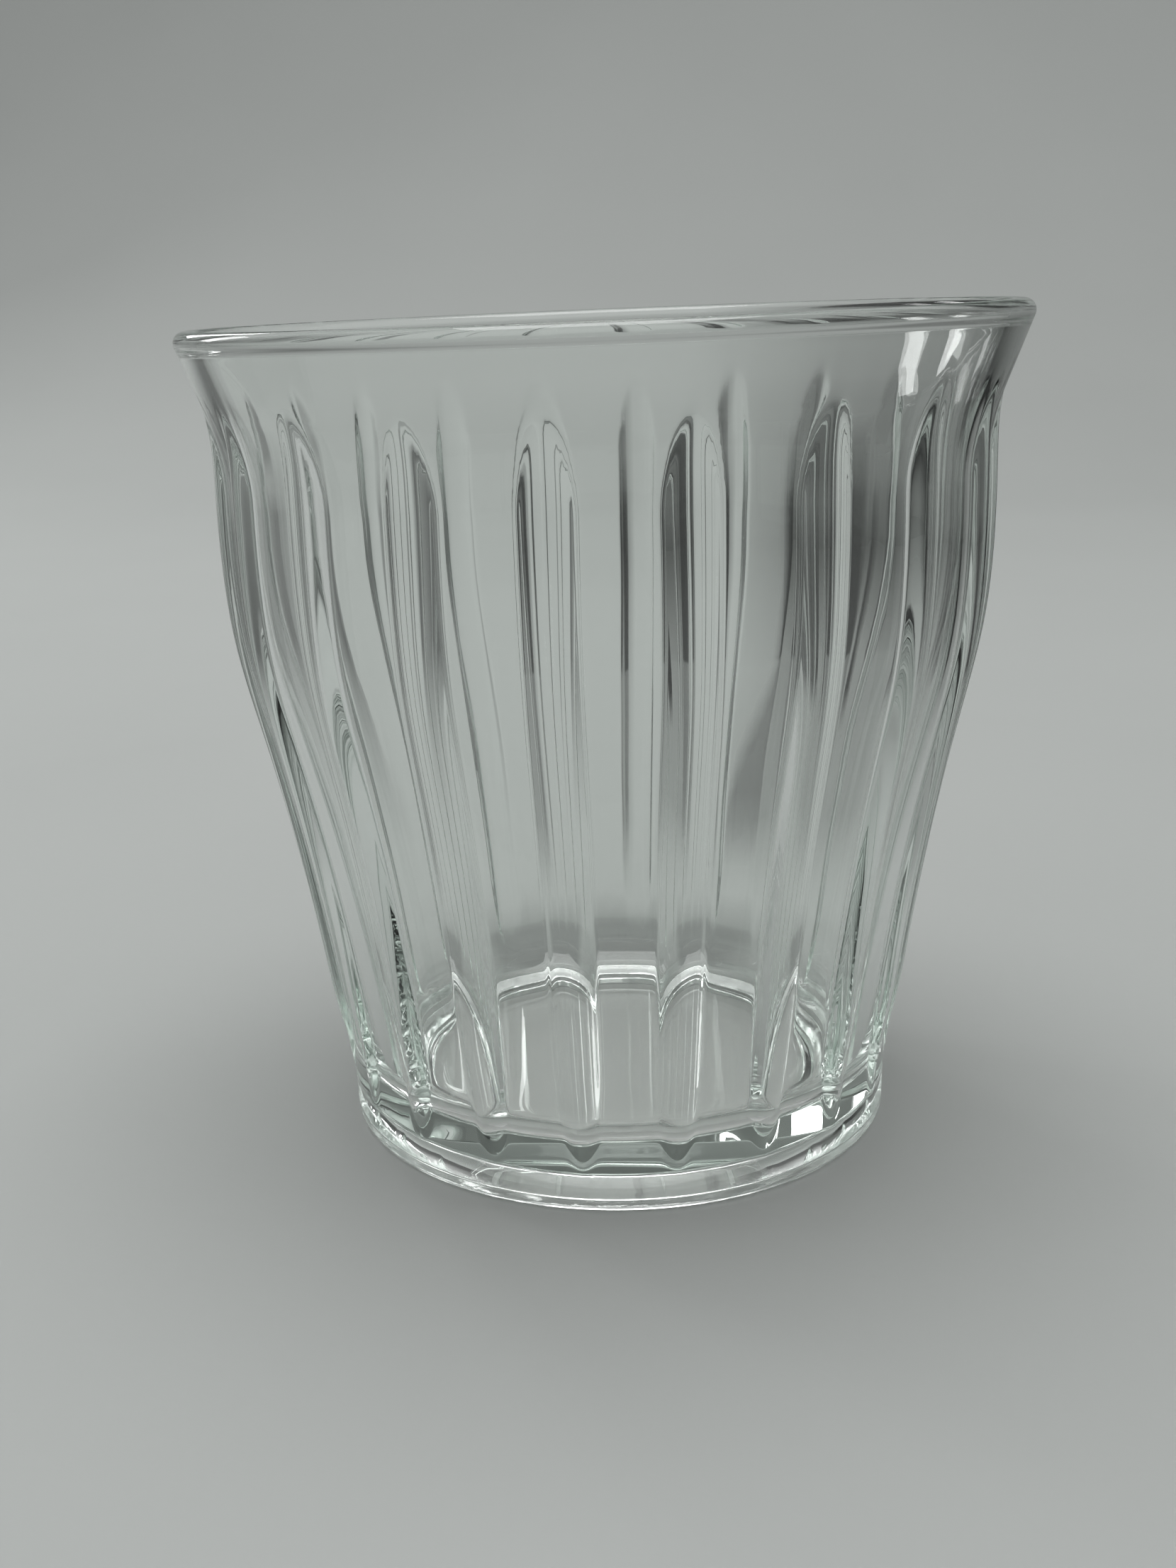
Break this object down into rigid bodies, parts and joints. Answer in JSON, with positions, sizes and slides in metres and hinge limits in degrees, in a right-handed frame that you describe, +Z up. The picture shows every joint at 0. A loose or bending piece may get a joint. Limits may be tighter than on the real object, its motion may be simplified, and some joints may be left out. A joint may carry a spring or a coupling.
{
  "type": "juice glass",
  "caption": "Pressed one-piece tumbler with a flared plain neck, upright round ribs ending in arches, a smooth inside and a recessed foot, for cold drinks.",
  "frame": {"origin": "centre of the bearing ring, on the plane that the glass stands on", "axes": "+Z up along the glass's axis, -Y through the crest of one rib"},
  "size_m": [0.0856, 0.0856, 0.085],
  "materials": {
    "glass": "clear pressed glass, faintly green-grey, fire polished"
  },
  "bodies": {
    "root": {"tumbler": "glass"}
  },
  "joints": []
}
